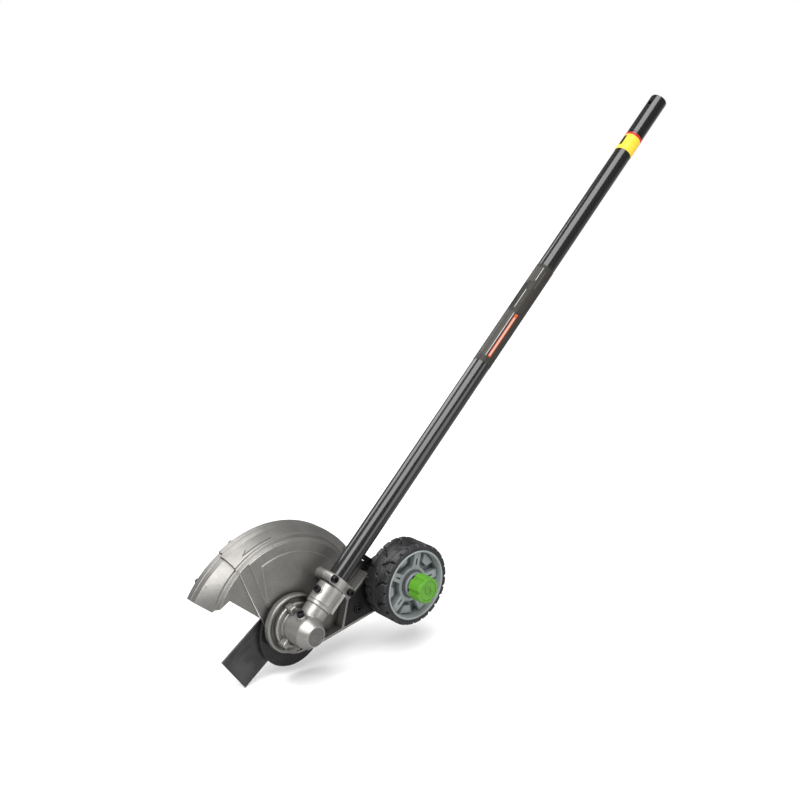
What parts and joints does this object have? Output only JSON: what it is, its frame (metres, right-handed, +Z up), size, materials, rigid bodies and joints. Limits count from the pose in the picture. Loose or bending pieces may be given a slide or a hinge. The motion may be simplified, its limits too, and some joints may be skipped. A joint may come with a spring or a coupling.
{
  "type": "lawn edger attachment",
  "caption": "Split-boom lawn edger attachment: round tube, bevel gear head, guarded straight cutting blade and a depth-adjusting side wheel with a knob.",
  "frame": {"origin": "on the cutting blade's axis, where the axis of the blade spindle crosses the plane of the cover seat behind the gear case", "axes": "+Z up as the tool stands; +X towards the wheel and along the boom's lean; +Y along the blade axis, away from the gear case"},
  "size_m": [0.7952, 0.1305, 0.7232],
  "materials": {
    "tube_black": "glossy black tube with a fine dark weave",
    "bushing_white": "plain moulded",
    "label_yellow": "satin film",
    "label_dark": "satin film",
    "case_silver": "satin die-cast",
    "guard_silver": "fine-grained satin die-cast",
    "plug_grey": "brushed",
    "bearing_steel": "ground",
    "gear_steel": "oiled",
    "blade_steel": "dark heat-treated",
    "disc_black": "semi-gloss black",
    "screw_black": "black oxide",
    "seal_rubber": "plain moulded",
    "bracket_black": "fine-grained moulded",
    "rim_grey": "satin moulded",
    "tyre_black": "moulded rubber with block tread",
    "insert_brass": "turned",
    "knob_green": "bright green moulded"
  },
  "bodies": {
    "frame": {"shaft_tube": "tube_black", "tube_end_bushing": "bushing_white", "shaft_bushings": "bushing_white", "insertion_label": "label_yellow", "rating_label": "label_dark", "gear_case": "case_silver", "gear_case_plug": "plug_grey", "grease_screw": "screw_black", "clamp_sleeve": "case_silver", "clamp_sleeve_screw": "screw_black", "output_bearing": "bearing_steel", "tail_bearing": "bearing_steel", "pinion_bearing": "bearing_steel", "pinion_circlip": "bearing_steel", "shaft_seal": "seal_rubber", "guard_cover": "guard_silver", "guard_nose": "guard_silver", "guard_rim": "guard_silver", "guard_screws": "screw_black", "dust_shield": "disc_black", "case_bolts": "screw_black", "tube_saddle": "case_silver", "saddle_screws": "screw_black", "wheel_bracket": "bracket_black", "bracket_screws": "screw_black"},
    "drive": {"drive_shaft": "gear_steel", "pinion_gear": "gear_steel"},
    "blade": {"output_shaft": "gear_steel", "driven_gear": "gear_steel", "inner_flange": "disc_black", "edger_blade": "blade_steel", "outer_flange": "disc_black", "blade_nut": "screw_black"},
    "carriage": {"axle_bolt": "bearing_steel", "axle_spacer": "bearing_steel", "axle_sleeve": "bearing_steel"},
    "wheel": {"wheel_rim": "rim_grey", "wheel_bushing": "bushing_white", "tyre": "tyre_black"},
    "washer": {"thrust_washer": "bearing_steel"},
    "knob": {"knob": "knob_green", "knob_insert": "insert_brass"}
  },
  "joints": [
    {"name": "blade_spin", "type": "hinge", "parent": "frame", "child": "blade", "pos_m": [0, 0, 0], "axis": [0, 1, 0], "continuous": true},
    {"name": "drive_spin", "type": "hinge", "parent": "frame", "child": "drive", "pos_m": [0, -0.046, 0], "axis": [0.7242, 0, 0.6896], "continuous": true},
    {"name": "depth_slide", "type": "slide", "parent": "frame", "child": "carriage", "axis": [0, 0, 1], "range_m": [-0.034, 0.006]},
    {"name": "wheel_spin", "type": "hinge", "parent": "carriage", "child": "wheel", "pos_m": [0.161, -0.054, 0.019], "axis": [0, 1, 0], "continuous": true},
    {"name": "knob_travel", "type": "slide", "parent": "carriage", "child": "washer", "axis": [0, -1, 0], "range_m": [0, 0.0025]},
    {"name": "knob_turn", "type": "hinge", "parent": "washer", "child": "knob", "pos_m": [0.161, -0.088, 0.019], "axis": [0, -1, 0], "range_deg": [0, 720]}
  ],
  "couplings": [
    {"joint": "drive_spin", "follows": "blade_spin", "ratio": -1.3333},
    {"joint": "knob_turn", "follows": "knob_travel", "rad_per_m": 5026.5}
  ]
}
